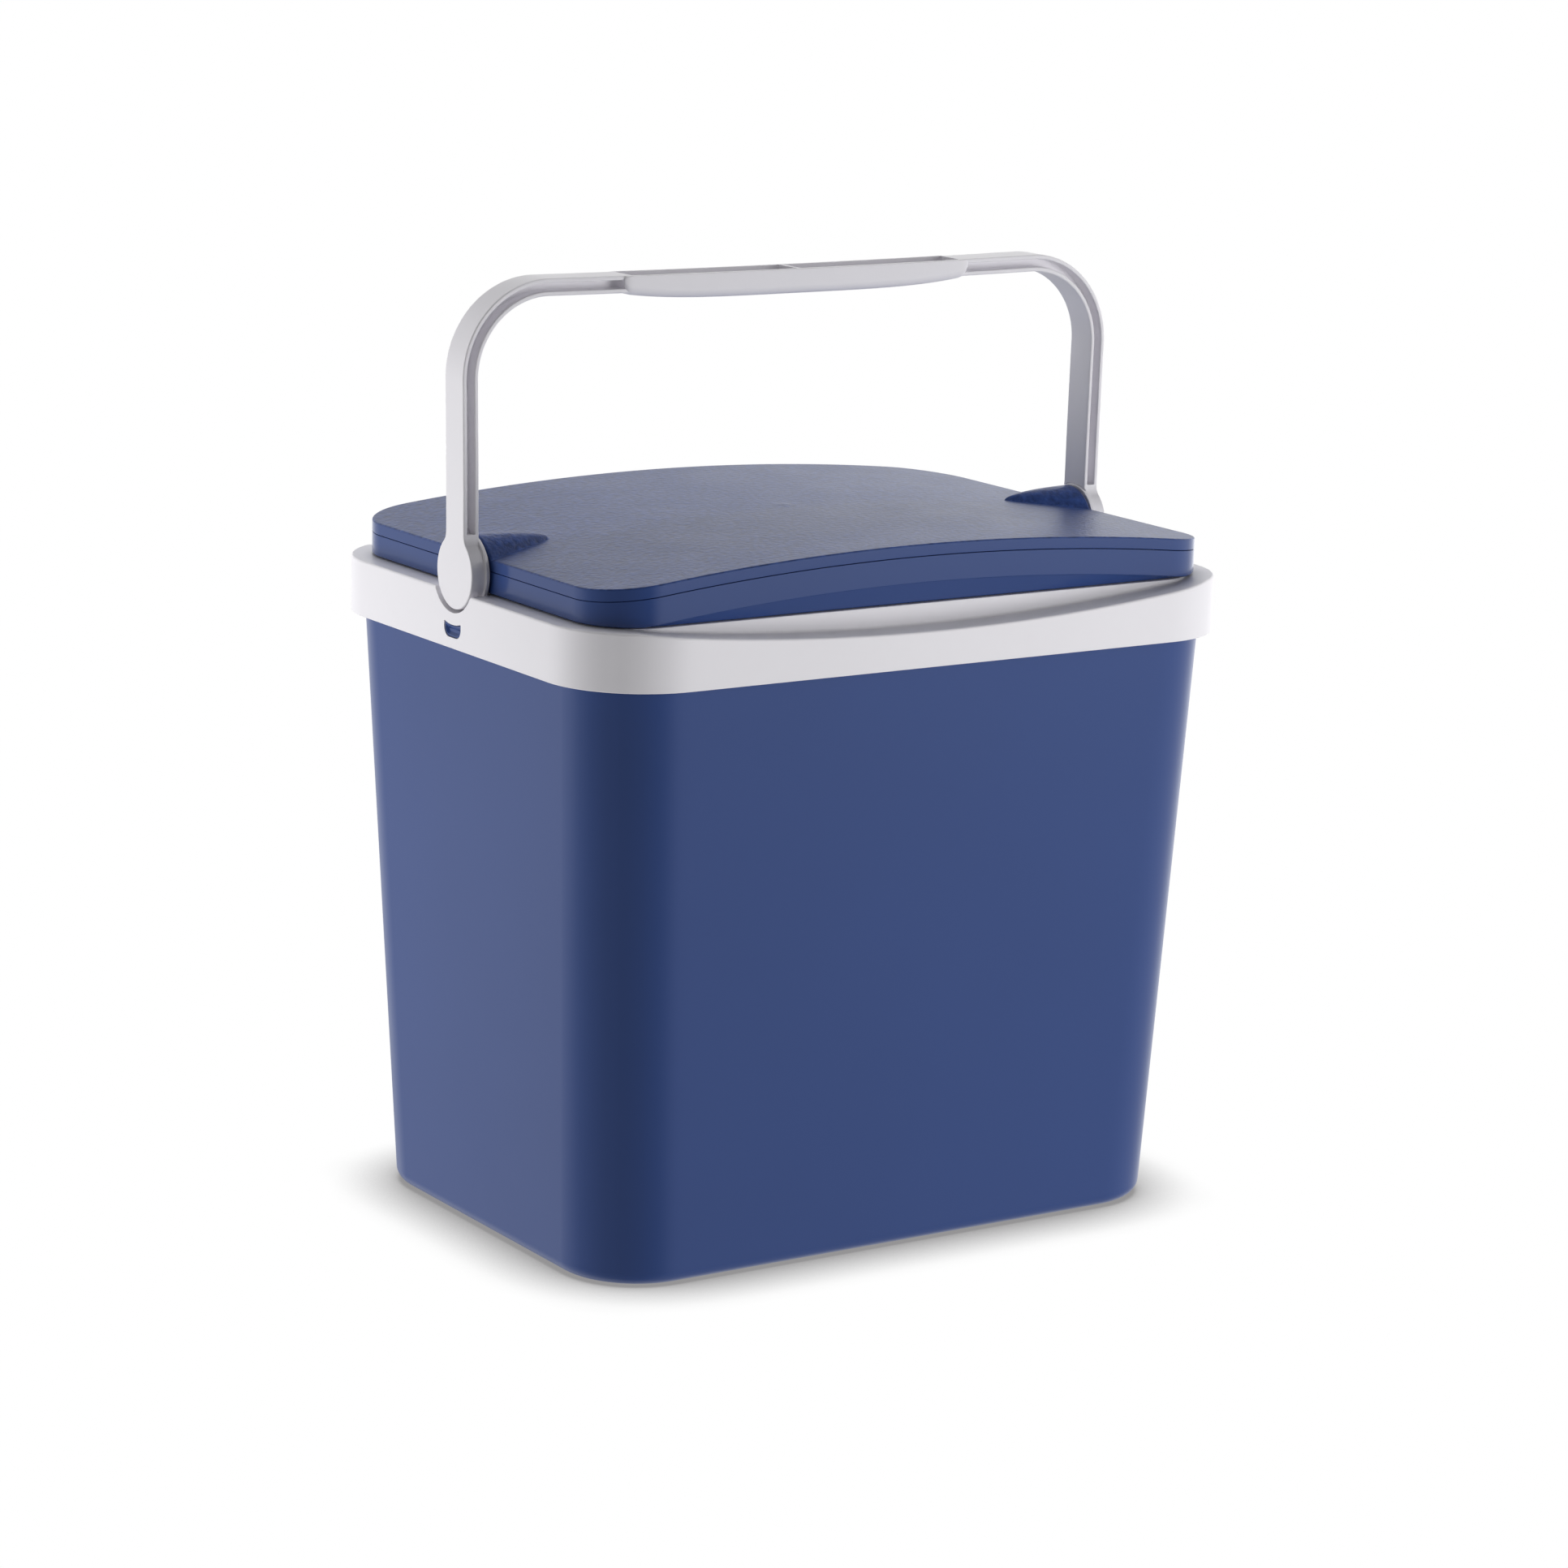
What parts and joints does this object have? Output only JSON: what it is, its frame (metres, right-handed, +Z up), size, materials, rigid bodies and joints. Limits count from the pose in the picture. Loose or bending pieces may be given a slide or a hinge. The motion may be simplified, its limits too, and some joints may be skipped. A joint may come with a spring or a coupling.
{
  "type": "cooler chest",
  "caption": "Insulated cool box: tapered tub with a rim collar, a lift-off crowned lid and a swinging one-piece bail handle with a moulded grip.",
  "frame": {"origin": "on the floor under the middle of the chest", "axes": "+Z up, the wide sides face -Y and +Y, the bail handle turns about an axis along X"},
  "size_m": [0.4006, 0.2974, 0.5015],
  "materials": {
    "tub_blue_plastic": "satin",
    "lid_blue_plastic": "matte",
    "off_white_plastic": "satin",
    "liner_white_plastic": "satin",
    "white_foam": "matte"
  },
  "bodies": {
    "chest": {"outer_tub": "tub_blue_plastic", "rim_collar": "off_white_plastic", "inner_liner": "liner_white_plastic", "front_foam_panel": "white_foam", "rear_foam_panel": "white_foam", "left_foam_panel": "white_foam", "right_foam_panel": "white_foam", "floor_foam_panel": "white_foam"},
    "lid": {"lid_cover": "lid_blue_plastic", "lid_tray": "lid_blue_plastic", "lid_foam": "white_foam"},
    "bail": {"bail_handle": "off_white_plastic"}
  },
  "joints": [
    {"name": "bail_pivot", "type": "hinge", "parent": "chest", "child": "bail", "pos_m": [0, 0, 0.353], "axis": [1, 0, 0], "range_deg": [-90, 90]},
    {"name": "lid_lift", "type": "slide", "parent": "chest", "child": "lid", "axis": [0, 0, 1], "range_m": [0, 0.085]}
  ]
}
